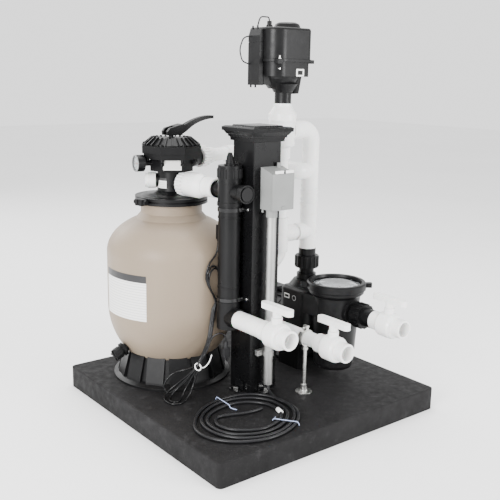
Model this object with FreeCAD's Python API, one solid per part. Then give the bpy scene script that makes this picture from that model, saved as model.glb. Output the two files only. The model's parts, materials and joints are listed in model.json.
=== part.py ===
"""Skid-mounted salt-chlorinated pool and spa equipment set, modelled piece by piece.

Frame: origin at the centre of the pad's underside, +X along the pad's front edge, the three
pipe sockets open towards -Y, +Z up.  Everything is in millimetres.
"""
import FreeCAD, Part
import math
import os

V = FreeCAD.Vector
X, Y, Z = V(1, 0, 0), V(0, 1, 0), V(0, 0, 1)
GAP = 0.3                      # clearance between curved faces that sit close together

# Pad ---------------------------------------------------------------------------------------
PAD_SIDE = 914.4
PAD_TOP = 76.0
PAD_CORNER = 16.0

# 1-1/2 inch pipe system --------------------------------------------------------------------
PIPE_R = 24.15                 # outside radius of the pipe
PIPE_BORE = 20.5
HUB_R = 30.0                   # outside radius of a fitting's socket
SOCKET_R = 24.2
SOCKET_DEPTH = 35.0

# Sand filter and its multiport valve ---------------------------------------------------------
FILTER = V(-180, 211, 0)
TANK_R = 222.0
TANK_WALL = 7.0
TANK_NECK_R = 105.0
RING_LOW, RING_TOP = 688.0, 711.0
VALVE_TURN = 15.0              # how far the multiport valve is turned about the filter's axis
UPPER_PORT_Z = 831.0
LOWER_PORT_Z = 754.0
WASTE_PORT_Z = 761.0
GAUGE_TURN = 172.0
GAUGE_Z = 823.0
WASTE_TURN = 146.0             # the waste port points back and to the left

# Post and what is fixed to it ----------------------------------------------------------------
POST = V(-37, -74, 0)
POST_SIDE = 110.0
POST_TOP = 921.0
BOX_X = (-65.0, 23.0)
BOX_Y = (-190.0, -131.0)
BOX_Z = (700.0, 833.0)
DOOR_HINGE = V(-21, -186.5, 813)   # axis of the switch box's front door
DOOR_R = 3.0
CONDUIT = V(-42, -160, 0)
CONDUIT_R = 15.0

# Chlorine cell vessel ------------------------------------------------------------------------
CELL = V(-134, -59, 0)
CELL_R = 38.0
CELL_TUBE_R = 36.0
CELL_LOW_PORT_Z = 340.0
CELL_TOP_PORT_Z = 753.0

# Ball valves: name, outlet end on -Y, axis x and z -------------------------------------------
VALVE_LEN = 132.0
VALVES = {
    "valve_1": V(-134, -372, 340),
    "valve_2": V(69.6, -412, 268),
    "valve_3": V(262, -472, 326),
}

# Pump ----------------------------------------------------------------------------------------
PUMP_X = 262.0
POT = V(PUMP_X, -159, 0)
POT_R = 85.0
RISER = V(PUMP_X, -3, 0)
SUCTION_Z = 326.0
SHAFT_Z = 240.0
LID_TOP = 421.0
SHAFT_R = 8.0
FIT = 0.06                     # radial clearance of a shaft in its bearing

# Blower --------------------------------------------------------------------------------------
BLOWER = V(127, -3, 0)
LOOP_Z = 934.0                 # centre line of the pipe loop that joins riser and air tee
LOWER_TEE_Z = 575.0
UPPER_TEE_Z = 791.0
AIR_LINE_Z = 268.0


# ------------------------------------------------------------------------------ helpers ------
def save(name, shape):
    """Write one closed sub-part."""
    if not shape.isValid():
        shape = shape.copy()
        shape.fix(0.01, 0.01, 0.01)
    print(name, "solids", len(shape.Solids), "valid", shape.isValid(), "cm3", round(shape.Volume / 1000, 1))
    shape.exportStep("parts/" + name + ".step")


def at(centre, z):
    return V(centre.x, centre.y, z)


def rod(radius, start, end):
    axis = end - start
    return Part.makeCylinder(radius, axis.Length, start, axis)


def tube(outer, inner, start, end):
    return rod(outer, start, end).cut(rod(inner, start, end))


def cone(r_start, r_end, start, end):
    axis = end - start
    return Part.makeCone(r_start, r_end, axis.Length, start, axis)


def block(x, y, z, corner=0.0):
    """Upright box between two x, two y and two z values, with its upright edges rounded."""
    shape = Part.makeBox(x[1] - x[0], y[1] - y[0], z[1] - z[0], V(x[0], y[0], z[0]))
    if corner:
        upright = [e for e in shape.Edges if abs(e.tangentAt(e.FirstParameter).z) > 0.9]
        shape = shape.makeFillet(corner, upright)
    return shape


def fuse(shapes):
    whole = shapes[0].multiFuse(shapes[1:]) if len(shapes) > 1 else shapes[0]
    return whole.removeSplitter()


def cut(shape, tools):
    for tool in tools:
        shape = shape.cut(tool)
    return shape


def turn(shape, degrees, centre, axis=Z):
    shape = shape.copy()
    shape.rotate(centre, axis, degrees)
    return shape


def lathe(points, centre, axis=Z):
    """Turn an outline of (radius, height) corners about an axis through centre."""
    corners = [V(r, 0, h) for r, h in points]
    face = Part.Face(Part.makePolygon(corners + corners[:1]))
    solid = face.revolve(V(0, 0, 0), Z, 360)
    solid = Part.Solid(solid) if solid.ShapeType == "Shell" else solid
    solid.Placement = FreeCAD.Placement(centre, FreeCAD.Rotation(Z, axis))
    return solid


def bearing(degrees):
    """Level unit vector at an angle from +X."""
    return V(math.cos(math.radians(degrees)), math.sin(math.radians(degrees)), 0)


def route(points, bends):
    """Wire of straight runs joined by tangent arcs; bends holds one radius per inner point."""
    edges = []
    here = points[0]
    for before, corner, after, radius in zip(points, points[1:], points[2:], bends):
        into = (corner - before).normalize()
        out = (after - corner).normalize()
        half = math.acos(max(-1.0, min(1.0, into.dot(out)))) / 2
        back = radius * math.tan(half)
        start = corner - into * back
        end = corner + out * back
        inward = (out - into).normalize()
        middle = corner + inward * (radius / math.cos(half) - radius)
        edges.append(Part.LineSegment(here, start).toShape())
        edges.append(Part.Arc(start, middle, end).toShape())
        here = end
    edges.append(Part.LineSegment(here, points[-1]).toShape())
    return Part.Wire(edges)


def swept(points, bends, radius):
    """Round bar along a route."""
    path = route(points, bends)
    section = Part.Wire([Part.makeCircle(radius, points[0], points[1] - points[0])])
    return path.makePipeShell([section], True, True)


def cord_bends(points):
    """Tangent-arc wire whose arcs are as large as the shorter of their two runs allows."""
    bends = []
    for before, corner, after in zip(points, points[1:], points[2:]):
        into = (corner - before).normalize()
        out = (after - corner).normalize()
        half = math.acos(max(-1.0, min(1.0, into.dot(out)))) / 2
        shorter = min((corner - before).Length, (after - corner).Length)
        bends.append(0.45 * shorter / math.tan(half))
    return bends


def cord(name, points, radius):
    bends = cord_bends(points)
    shape = swept(points, bends, radius)
    length = route(points, bends).Length
    exact = math.pi * radius ** 2 * length
    print(name, "length", round(length), "least bend", round(min(bends), 1),
          "volume ratio", round(shape.Volume / exact, 4))
    return shape


# ---------------------------------------------------------------------------------- pad ------
def base_pad():
    half = PAD_SIDE / 2
    slab = block((-half, half), (-half, half), (0, PAD_TOP), PAD_CORNER)
    rim = [e for e in slab.Edges if abs(e.BoundBox.ZMin - PAD_TOP) < 0.01]
    return slab.makeFillet(4.0, rim)


# ------------------------------------------------------------------------------- filter ------
def revolved_tank(offset):
    """Solid of the tank's outer or inner skin."""
    radius = TANK_R - offset
    low_z, low_h = 338.0, 243.0 - offset
    top_z, top_h = 520.0, 137.0 - offset
    neck = TANK_NECK_R - offset
    lip = RING_LOW - 1.0 + (30.0 if offset else 0.0)
    low = Part.makeSphere(1.0)
    stretch = FreeCAD.Matrix()
    stretch.scale(radius, radius, low_h)
    low = low.transformGeometry(stretch)
    low = low.common(Part.makeBox(600, 600, 400, V(-300, -300, -400)))
    low.translate(V(0, 0, low_z))
    stretch = FreeCAD.Matrix()
    stretch.scale(radius, radius, top_h)
    top = Part.makeSphere(1.0).transformGeometry(stretch)
    top = top.common(Part.makeBox(600, 600, 400, V(-300, -300, 0)))
    top.translate(V(0, 0, top_z))
    side = Part.makeCylinder(radius, top_z - low_z, V(0, 0, low_z))
    collar = Part.makeCylinder(neck, lip - 600, V(0, 0, 600))
    flare = Part.makeCone(neck + 26, neck, 30, V(0, 0, 624))
    return fuse([low, side, top, collar, flare])


def filter_tank():
    shape = revolved_tank(0).cut(revolved_tank(TANK_WALL))
    shape.translate(FILTER)
    return shape


def filter_base():
    """Skirt of flat raised panels that the tank stands in."""
    outer = [(206, PAD_TOP), (206, PAD_TOP + 7), (190, PAD_TOP + 14), (180, PAD_TOP + 18), (158, 192),
             (150, 192), (172, PAD_TOP + 8), (172, PAD_TOP)]
    skirt = lathe(outer, V(FILTER.x, FILTER.y, 0))
    panels = []
    count = 14
    for i in range(count):
        side = [V(170, -31, 80), V(191, -31, 80), V(188, -31, 96), (V(164, -31, 190)), V(155, -31, 190)]
        panel = Part.Face(Part.makePolygon(side + side[:1])).extrude(V(0, 62, 0))
        panel.translate(V(FILTER.x, FILTER.y, 0))
        panels.append(turn(panel, 360.0 * (i + 0.5) / count, FILTER))
    hollow = lathe([(0, PAD_TOP - 1), (172, PAD_TOP - 1), (172, PAD_TOP + 8), (150, 193), (0, 193)],
                   V(FILTER.x, FILTER.y, 0))
    tank = revolved_tank(-GAP)
    tank.translate(FILTER)
    return cut(fuse([skirt] + panels), [hollow, tank])


def filter_standpipe():
    """Riser pipe inside the tank with its hub and eight slotted laterals."""
    pipe = tube(PIPE_R, PIPE_BORE, at(FILTER, 190), at(FILTER, 700))
    hub = rod(42, at(FILTER, 150), at(FILTER, 192))
    laterals = []
    for i in range(8):
        way = bearing(45 * i)
        laterals.append(rod(11, at(FILTER, 170) + way * 36, at(FILTER, 170) + way * 132))
    return fuse([pipe, hub] + laterals)


def tank_clamp_ring():
    """Split clamp that holds the valve on the tank's neck, with its closing bolt."""
    ring = tube(124, TANK_NECK_R + GAP, at(FILTER, RING_LOW), at(FILTER, RING_TOP))
    groove = tube(130, 118, at(FILTER, RING_LOW + 9), at(FILTER, RING_LOW + 14))
    lugs = block((-150, -118), (-17, 17), (RING_LOW + 1, RING_TOP - 1), 4)
    split = block((-160, -100), (-2.5, 2.5), (RING_LOW - 5, RING_TOP + 5))
    bolt_hole = rod(4.5, V(-137, -30, 699.5), V(-137, 30, 699.5))
    shank = rod(4.2, V(-137, -28, 699.5), V(-137, 28, 699.5))
    head = rod(8.5, V(-137, -29, 699.5), V(-137, -17.2, 699.5))
    nut = rod(8.5, V(-137, 17.2, 699.5), V(-137, 27, 699.5))
    bolt = fuse([shank, head, nut])
    for part in (lugs, split, bolt_hole, bolt):
        part.translate(FILTER)
    clamp = Part.makeCompound([cut(fuse([ring.cut(groove), lugs]), [split, bolt_hole]), bolt])
    return turn(clamp, 10, FILTER)


def octagon(across, z_low, z_high):
    """Upright eight-sided block about the filter's axis, a flat side facing each port."""
    corner = across / 2 / math.cos(math.radians(22.5))
    ring = [bearing(22.5 + 45 * i) * corner for i in range(8)]
    face = Part.Face(Part.makePolygon(ring + ring[:1]))
    solid = face.extrude(V(0, 0, z_high - z_low))
    solid.translate(at(FILTER, z_low))
    return solid


def valve_way(degrees):
    return bearing(degrees + VALVE_TURN)


def multiport_body():
    """Valve body: flange on the tank's neck, straight stem, eight-sided head and four ports."""
    foot = lathe([(0, 696), (97, 696), (97, RING_LOW - 0.6), (TANK_NECK_R, RING_LOW - 0.6),
                  (TANK_NECK_R, RING_TOP), (92, RING_TOP + 5), (62, RING_TOP + 9), (48, 728),
                  (47, 745), (47, 797), (0, 797)], V(FILTER.x, FILTER.y, 0))
    head = turn(octagon(142, 796, 842), VALVE_TURN, FILTER)
    rim = turn(octagon(186, 838, 856), VALVE_TURN, FILTER)
    out, low, gauge, waste = valve_way(0), valve_way(-90), bearing(GAUGE_TURN), bearing(WASTE_TURN)
    upper = at(FILTER, UPPER_PORT_Z)
    lower = at(FILTER, LOWER_PORT_Z)
    spare = at(FILTER, WASTE_PORT_Z)
    dial = at(FILTER, GAUGE_Z)
    ports = [
        rod(29, upper + out * 50, upper + out * 100),
        rod(33, upper + out * 98, upper + out * 108),
        rod(27, upper + out * 100, upper + out * 136),
        rod(36, lower + low * 20, lower + low * 48),
        rod(24, spare + waste * 20, spare + waste * 52),
        rod(10, dial + gauge * 60, dial + gauge * 95.4),
    ]
    bosses = []
    for i in range(8):
        spot = bearing(22.5 + VALVE_TURN + 45 * i) * 88
        bosses.append(rod(7, at(FILTER, 828) + spot, at(FILTER, 856) + spot))
        inner = bearing(22.5 + VALVE_TURN + 45 * i) * 70
        bosses.append(rod(5, at(FILTER, 812) + inner, at(FILTER, 829) + spot))
    foot = foot.cut(rod(43, lower + low * 48, lower + low * 125))
    shape = fuse([foot, head, rim] + ports + bosses)
    hollows = [
        rod(63, at(FILTER, 806), at(FILTER, 857)),
        rod(22, upper + out * 50, upper + out * 140),
        rod(22, lower + low * 0, lower + low * 50),
        rod(22, at(FILTER, 716), at(FILTER, 808)),
        rod(PIPE_R + GAP, at(FILTER, 680), at(FILTER, 702)),
        rod(112, at(FILTER, 856), at(FILTER, 870)),
    ]
    return cut(shape, hollows)


def multiport_cover():
    """Bolted lid with its ring of radial ribs."""
    bore = 13.0 + FIT
    flange = turn(octagon(196, 856, 881), VALVE_TURN, FILTER)
    crown = lathe([(90, 880), (90, 884), (64, 905), (0, 905), (0, 880)], V(FILTER.x, FILTER.y, 0))
    ribs = []
    count = 24
    for i in range(count):
        fin = Part.Face(Part.makePolygon([V(60, -2, 879), V(97, -2, 879), V(97, -2, 886),
                                          V(68, -2, 909), V(60, -2, 909), V(60, -2, 879)]))
        fin = fin.extrude(V(0, 4, 0))
        fin.translate(FILTER)
        ribs.append(turn(fin, 360.0 * i / count, FILTER))
    heads = []
    for i in range(8):
        spot = bearing(22.5 + VALVE_TURN + 45 * i) * 96
        heads.append(rod(6.5, at(FILTER, 880) + spot, at(FILTER, 888) + spot))
    whole = fuse([flange, crown] + ribs + heads)
    return cut(whole, [rod(bore, at(FILTER, 850), at(FILTER, 915)), rod(63, at(FILTER, 855), at(FILTER, 876))])


def multiport_diverter():
    """Turning disc under the cover with its stem and the cross pin that the handle tilts on."""
    disc = rod(60, at(FILTER, 812), at(FILTER, 826))
    neck = cone(40, 13, at(FILTER, 826), at(FILTER, 850))
    stem = rod(13, at(FILTER, 840), at(FILTER, 906))
    tang = block((-5, 5), (-9, 9), (904, 936), 2)
    tang.translate(FILTER)
    pin = rod(4.0, V(FILTER.x, FILTER.y - 20, 925), V(FILTER.x, FILTER.y + 20, 925))
    window = block((20, 52), (-16, 16), (800, 830))
    window.translate(FILTER)
    return fuse([disc, neck, stem, tang, pin]).cut(turn(window, VALVE_TURN, FILTER))


def multiport_handle():
    """Forked lever over the stem with a long arm that curves up and out."""
    top = [V(10, 0, 938), V(40, 0, 944), V(72, 0, 958), V(112, 0, 971), V(168, 0, 976)]
    under = [V(168, 0, 966), V(114, 0, 957), V(78, 0, 941), V(50, 0, 922), V(12, 0, 914.5)]
    upper = Part.BSplineCurve()
    upper.interpolate(top)
    lower = Part.BSplineCurve()
    lower.interpolate(under)
    side = Part.Face(Part.Wire([upper.toShape(), Part.LineSegment(top[4], under[0]).toShape(),
                                lower.toShape(), Part.LineSegment(under[4], top[0]).toShape()]))
    arm = side.extrude(V(0, 20, 0))
    arm.translate(V(0, -10, 0))
    cheek = [V(-24, 0, 913.5), V(-26, 0, 926), V(-17, 0, 937), V(14, 0, 945), V(38, 0, 950), V(44, 0, 938),
             V(32, 0, 913.5)]
    hub = Part.Face(Part.makePolygon(cheek + cheek[:1])).extrude(V(0, 40, 0))
    hub.translate(V(0, -20, 0))
    slot = block((-30, 9), (-9.5, 9.5), (905, 950))
    pin_hole = rod(4.0 + FIT, V(0, -30, 925), V(0, 30, 925))
    whole = cut(fuse([arm, hub]), [slot, pin_hole])
    whole.translate(FILTER)
    return whole


def pressure_gauge():
    """Gauge case on its threaded stem; the dial's recess is open."""
    centre = at(FILTER, GAUGE_Z)
    way = bearing(GAUGE_TURN)
    stem = rod(7, centre + way * 95.6, centre + way * 106)
    neck = rod(14, centre + way * 99, centre + way * 106)
    case = rod(28, centre + way * 104, centre + way * 130)
    recess = rod(25, centre + way * 123, centre + way * 132)
    pivot = rod(2.4, centre + way * 120, centre + way * 123)
    return fuse([stem, neck, case.cut(recess), pivot])


def gauge_needle():
    centre = at(FILTER, GAUGE_Z) + bearing(GAUGE_TURN) * 123.4
    way = bearing(GAUGE_TURN)
    hub = rod(3, centre, centre + way * 2)
    hand = Part.makeBox(1.6, 20, 1.4, V(-0.8, 0, 0))
    hand.Placement = FreeCAD.Placement(centre, FreeCAD.Rotation(Z, way)).multiply(
        FreeCAD.Placement(V(0, 0, 0), FreeCAD.Rotation(Z, 0)))
    return fuse([hub, hand])


def port_nuts():
    """The two ribbed union nuts and the screw cap on the multiport valve's ports."""
    out, low, waste = valve_way(0), valve_way(-90), bearing(WASTE_TURN)
    upper, lower = at(FILTER, UPPER_PORT_Z), at(FILTER, LOWER_PORT_Z)
    spare = at(FILTER, WASTE_PORT_Z)
    cap = [rod(27, spare + waste * 52.2, spare + waste * 80), rod(24, spare + waste * 80, spare + waste * 88)]
    return Part.makeCompound([
        fuse(cap),
        ribbed_nut(38, 29.5, upper + out * 138, upper + out * 176, 20),
        ribbed_nut(41.5, 34.0, lower + low * 48.2, lower + low * 78, 22),
    ])


def ribbed_nut(outer, inner, start, end, ribs):
    body = tube(outer - 3, inner, start, end)
    axis = (end - start).normalize()
    side = axis.cross(Z) if abs(axis.z) < 0.9 else X
    bars = []
    for i in range(ribs):
        spot = turn_vector(side, axis, 360.0 * i / ribs) * (outer - 3)
        bars.append(rod(3, start + spot + axis * 2, end + spot - axis * 2))
    return fuse([body] + bars)


def turn_vector(vector, axis, degrees):
    return FreeCAD.Rotation(axis, degrees).multVec(vector)


def return_coupling():
    """White pipe from the valve's lower port to the cell vessel, with its stepped coupling."""
    low = valve_way(-90)
    start = at(FILTER, LOWER_PORT_Z)
    points = [start + low * 50, V(CELL.x, 45, LOWER_PORT_Z), V(CELL.x, 8, LOWER_PORT_Z)]
    thick = swept(points, [60], 33.0)
    sleeve = [rod(41.5, start + low * 78.4, start + low * 128),
              cone(41.5, 34, start + low * 128, start + low * 152)]
    return fuse([thick] + sleeve).cut(swept(points, [60], PIPE_BORE))


def tank_drain():
    """Drain spigot low on the tank with its screw cap."""
    start = V(FILTER.x - 186, FILTER.y, 200)
    tilt = V(-0.90, 0, -0.436)
    body = rod(15, start, start + tilt * 34)
    collar = rod(24, start + tilt * 8, start + tilt * 17)
    cap = ribbed_nut(23, 14, start + tilt * 24, start + tilt * 46, 14)
    end = rod(20, start + tilt * 40, start + tilt * 50)
    wings = [turn(block((-3, 3), (-23, 23), (0, 10), 2), 90 * i, V(0, 0, 0)) for i in range(2)]
    grip = fuse(wings)
    grip.Placement = FreeCAD.Placement(start + tilt * 43, FreeCAD.Rotation(Z, tilt))
    return fuse([body, collar, cap, end, grip])


# ---------------------------------------------------------------------------------- post -----
def post():
    half = POST_SIDE / 2
    outer = block((-half, half), (-half, half), (PAD_TOP, POST_TOP), 4)
    inner = block((-half + 5, half - 5), (-half + 5, half - 5), (PAD_TOP - 1, POST_TOP + 1), 2)
    shape = outer.cut(inner)
    shape.translate(POST)
    return shape


def square_frustum(low_side, high_side, z_low, z_high):
    wires = []
    for side, z in ((low_side, z_low), (high_side, z_high)):
        h = side / 2
        corners = [V(-h, -h, z), V(h, -h, z), V(h, h, z), V(-h, h, z)]
        wires.append(Part.makePolygon(corners + corners[:1]))
    return Part.makeLoft(wires, True, True)


def post_cap():
    """Stepped cap with a flared moulding under its lip and a raised panel on top."""
    steps = [
        square_frustum(123, 126, 911, 923),
        square_frustum(133, 137, 923, 931),
        square_frustum(142, 156, 931, 942),
        square_frustum(163, 165, 942, 953),
        square_frustum(165, 150, 953, 957),
        square_frustum(116, 112, 957, 961),
    ]
    plug = block((-48, 48), (-48, 48), (900, POST_TOP + 1), 2)
    half = POST_SIDE / 2 + GAP
    sleeve = block((-half, half), (-half, half), (900, POST_TOP + GAP), 4)
    cap = fuse([fuse(steps).cut(sleeve), plug])
    cap.translate(POST)
    return cap


def post_feet():
    """Four corner brackets and their bolts that hold the post to the pad."""
    feet = []
    half = POST_SIDE / 2
    for i in range(4):
        plate = block((half + 0.2, half + 30), (-22, 22), (PAD_TOP, PAD_TOP + 4))
        web = block((half + 0.2, half + 4.2), (-22, 22), (PAD_TOP, PAD_TOP + 34))
        bolt = rod(7, V(half + 18, 0, PAD_TOP + 4), V(half + 18, 0, PAD_TOP + 12))
        foot = fuse([plate, web, bolt])
        foot.translate(POST)
        feet.append(turn(foot, 90 * i, POST))
    return Part.makeCompound(feet)


# ------------------------------------------------------------------------------ cell vessel --
def cell_tube():
    body = tube(CELL_TUBE_R, 31, at(CELL, 392), at(CELL, 708))
    rings = [tube(CELL_TUBE_R + 1.6, CELL_TUBE_R - 1, at(CELL, z), at(CELL, z + 5)) for z in (438, 668)]
    sensor = block((-153, -139), (-26, -11), (592, 640), 2).cut(rod(33, at(CELL, 580), at(CELL, 650)))
    gland = rod(4.6, V(-146, -16, 586), V(-146, -16, 593))
    return fuse([body, sensor, gland] + rings)


def cell_top_tee():
    """Upper tee with the union on its two side ports; the front one is plugged."""
    run = rod(CELL_R, at(CELL, 708), at(CELL, 794))
    port_low = V(CELL.x, CELL.y, CELL_TOP_PORT_Z)
    ports = [rod(24, port_low, port_low - Y * 62), rod(24, port_low, port_low + Y * 62),
             rod(CELL_R + 2, at(CELL, 708), at(CELL, 720)), rod(CELL_R + 1.5, at(CELL, 780), at(CELL, 785))]
    shape = fuse([run] + ports)
    bores = [rod(31, at(CELL, 707), at(CELL, 795)), rod(17, port_low - Y * 63, port_low + Y * 63)]
    front = fuse([cone(24, 29, port_low - Y * 62.2, port_low - Y * 72),
                  rod(29, port_low - Y * 72, port_low - Y * 86),
                  tube(29, 25.5, port_low - Y * 86, port_low - Y * 90),
                  rod(22, port_low - Y * 86, port_low - Y * 92)])
    back = tube(29, 17, port_low + Y * 62.2, port_low + Y * 66.8)
    return Part.makeCompound([cut(shape, bores), front, back])


def cell_bottom_tee():
    run = rod(CELL_R, at(CELL, 300), at(CELL, 392))
    mouth = V(CELL.x, CELL.y, CELL_LOW_PORT_Z)
    port = rod(33, mouth, mouth - Y * 56)
    shape = fuse([run, port])
    return cut(shape, [rod(31, at(CELL, 308), at(CELL, 393)), rod(22, mouth, mouth - Y * 57)])


def cell_lock_ring():
    """Ribbed ring nut that holds the head down."""
    ring = tube(CELL_R + 1, 34.4, at(CELL, 794.2), at(CELL, 828))
    top = tube(CELL_R, 20, at(CELL, 828.0), at(CELL, 836))
    bars = []
    for i in range(20):
        spot = bearing(360.0 * i / 20) * (CELL_R + 0.8)
        bars.append(rod(2.4, at(CELL, 797) + spot, at(CELL, 826) + spot))
    return fuse([ring, top] + bars)


def cell_head():
    """Plug that carries the electrodes, with the cable gland on top."""
    plug = fuse([rod(30.8, at(CELL, 764), at(CELL, 794.1)), rod(34, at(CELL, 794.1), at(CELL, 802)),
                 rod(30, at(CELL, 802), at(CELL, 827.6))])
    neck = rod(19.0, at(CELL, 827.0), at(CELL, 840))
    gland = fuse([rod(14, at(CELL, 840), at(CELL, 853)), rod(11, at(CELL, 853), at(CELL, 862)),
                  cone(11, 6, at(CELL, 862), at(CELL, 876))])
    return fuse([plug, neck, gland])


def cell_electrodes():
    """Row of coated plates that make the chlorine."""
    plates = [block((-20, 20), (y, y + 1.2), (440, 752)) for y in (-13.6, -9.1, -4.6, -0.1, 4.4, 8.9, 13.4)]
    spacers = [block((x, x + 4), (-14, 15), (z, z + 6)) for x in (-18, 14) for z in (450, 600, 740)]
    stalk = [rod(4, V(x, 0.5, 754), V(x, 0.5, 764)) for x in (-10, 10)]
    bridge = block((-20, 20), (-14, 15), (750, 756))
    whole = fuse(plates + spacers + stalk + [bridge])
    whole.translate(CELL)
    return whole


def pipe_straps():
    """Two straps that hold the vessel against the post."""
    bands = []
    face = POST.x - POST_SIDE / 2
    for z, radius in ((400.0, CELL_TUBE_R), (696.0, CELL_TUBE_R)):
        band = tube(radius + 2.6, radius + GAP, at(CELL, z - 6), at(CELL, z + 6))
        ears = [block((CELL.x + 12, face), (CELL.y + y, CELL.y + y + 3), (z - 6, z + 6)) for y in (-37, 34)]
        feet = [block((face - 2.5, face), (CELL.y + y, CELL.y + y + 20), (z - 6, z + 6)) for y in (-57, 34)]
        screws = [rod(4, V(face - 5, CELL.y + y, z), V(face - 2.5, CELL.y + y, z)) for y in (-48, 45)]
        strap = fuse([band] + ears + feet + screws)
        bands.append(strap.cut(rod(radius + GAP, at(CELL, z - 8), at(CELL, z + 8))))
    return Part.makeCompound(bands)


# ---------------------------------------------------------------------------- switch box -----
def box_profile(inset, front, back):
    """Side outline of the sloped-top box, extruded across its width."""
    z0, z1 = BOX_Z
    side = [V(0, front, z0 + inset), V(0, back, z0 + inset), V(0, back, z1 - inset),
            V(0, front, z1 - 16 - inset)]
    solid = Part.Face(Part.makePolygon(side + side[:1])).extrude(V(BOX_X[1] - BOX_X[0] - 2 * inset, 0, 0))
    solid.translate(V(BOX_X[0] + inset, 0, 0))
    return solid


def switch_box():
    """Steel box of the disconnect, open in front, with the conduit hub under it and a top fitting."""
    x, y, z = BOX_X, BOX_Y, BOX_Z
    front = y[0] + 2 * DOOR_R + 1.0
    shell = box_profile(0, front, y[1] + 1.9).cut(box_profile(2, front - 1, y[1] - 0.1))
    hub = tube(18, CONDUIT_R + GAP, at(CONDUIT, 676), at(CONDUIT, z[0] + 2))
    deck = block((x[0] + 1, x[1] - 1), (y[1] - 30, y[1] + 1), (736, 790))
    knob = rod(6, V(0, -140, z[1] - 6), V(0, -140, z[1] + 12))
    hook = block((x[0] + 1, x[0] + 4), (y[1] - 12, y[1] - 4), (z[0] - 10, z[0] + 1), 1)
    rocker_seat = block((-32, -10), (y[1] - 31, y[1] - 16), (752, 778))
    hub_hole = rod(12, at(CONDUIT, z[0] - 1), at(CONDUIT, z[0] + 3))
    return cut(fuse([shell, hub, deck, knob, hook]), [rocker_seat, hub_hole])


def switch_cover():
    """Front door, hinged on a knuckle along its top edge."""
    y0, hinge = BOX_Y[0] + 0.5, DOOR_HINGE
    door = block(BOX_X, (y0, y0 + 2 * DOOR_R), (BOX_Z[0], hinge.z))
    knuckle = rod(DOOR_R, V(BOX_X[0], hinge.y, hinge.z), V(BOX_X[1], hinge.y, hinge.z))
    latch = block((-27, -15), (y0 - 2.5, y0), (BOX_Z[0] + 3, BOX_Z[0] + 12), 1)
    return fuse([door, knuckle, latch])


def switch_rocker():
    centre = V(-21, BOX_Y[1] - 24, 765)
    body = block((-30, -12), (BOX_Y[1] - 31, BOX_Y[1] - 20), (755, 775))
    axle = rod(2.5, V(-31.8, centre.y, 765), V(-10.2, centre.y, 765))
    lever = block((-25, -17), (BOX_Y[1] - 41, BOX_Y[1] - 30), (761, 769), 1)
    return fuse([body, axle, lever])


def conduit():
    """Conduit with the bushing in its lower end and the one-hole strap to the post."""
    pipe = tube(CONDUIT_R, 12, at(CONDUIT, 112), at(CONDUIT, BOX_Z[0]))
    bushing = tube(12, 5.4, at(CONDUIT, 112), at(CONDUIT, 124))
    z = 220.0
    band = tube(CONDUIT_R + 3, CONDUIT_R + GAP, at(CONDUIT, z - 9), at(CONDUIT, z + 9))
    spacer = block((CONDUIT.x - 34, CONDUIT.x + 10), (CONDUIT.y + 14, -129.3), (z - 9, z + 9), 2)
    screw = rod(5, V(CONDUIT.x - 26, CONDUIT.y + 8, z), V(CONDUIT.x - 26, CONDUIT.y + 14, z))
    spacer = spacer.cut(rod(CONDUIT_R + GAP, at(CONDUIT, z - 20), at(CONDUIT, z + 20)))
    return Part.makeCompound([fuse([pipe, bushing]), fuse([band, spacer, screw])])


# --------------------------------------------------------------------------- ball valves -----
def valve_body(mouth):
    """Ball valve along Y with its socket mouth at the given point."""
    half = VALVE_LEN / 2
    centre = mouth + Y * half
    outline = [(SOCKET_R, -half), (HUB_R, -half), (31, -half + 2), (31, -half + 34), (38, -half + 36),
               (42, -22), (42, 22), (38, half - 36), (31, half - 34), (31, half - 2), (HUB_R, half),
               (SOCKET_R, half), (SOCKET_R, half - SOCKET_DEPTH), (19, half - SOCKET_DEPTH),
               (19, -half + SOCKET_DEPTH), (SOCKET_R, -half + SOCKET_DEPTH)]
    body = lathe(outline, centre, Y)
    boss = rod(17, centre, centre + Z * 58)
    boss = boss.cut(rod(41, centre - Y * 20, centre + Y * 20))
    seat = Part.makeSphere(28.4, centre)
    shaft = rod(9 + FIT, centre, centre + Z * 60)
    return cut(fuse([body, boss]), [seat, shaft])


def valve_key(mouth):
    """Bored ball with its stem, and the tee handle, in line with the pipe when the valve is open."""
    centre = mouth + Y * (VALVE_LEN / 2)
    ball = Part.makeSphere(28, centre)
    stem = rod(9, centre + Z * 20, centre + Z * 78)
    ball = fuse([ball, stem]).cut(rod(19, centre - Y * 40, centre + Y * 40))
    hub = rod(14, centre + Z * 58.4, centre + Z * 84)
    bar = block((centre.x - 13, centre.x + 13), (centre.y - 68, centre.y + 68),
                (centre.z + 76, centre.z + 95), 12)
    socket = rod(9, centre + Z * 50, centre + Z * 78)
    return Part.makeCompound([ball, fuse([hub, bar]).cut(socket)])


def valve_1_inlet():
    start = V(CELL.x, CELL.y - 56.2, CELL_LOW_PORT_Z)
    end = VALVES["valve_1"] + Y * VALVE_LEN
    coupling = rod(29, start, end + Y * 0.2)
    tail = rod(SOCKET_R - GAP, end + Y * 0.2, end - Y * 30)
    return fuse([coupling, tail]).cut(rod(PIPE_BORE, start + Y, end - Y * 31))


def air_supply_pipe():
    """Pipe that brings the blower's air down behind the post, with an offset, to the second valve."""
    end = VALVES["valve_2"] + Y * (VALVE_LEN - 30)
    corner = V(end.x, BLOWER.y, AIR_LINE_Z)
    top = at(BLOWER, LOWER_TEE_Z - 60)
    high = top - Z * 13
    low = V(end.x, BLOWER.y, high.z - (BLOWER.x - end.x))
    bends = [26, 26, 26]
    pipe = swept([end, corner, low, high, top], bends, SOCKET_R - GAP)
    return pipe.cut(swept([end - Y, corner, low, high, top + Z], bends, PIPE_BORE))


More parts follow.
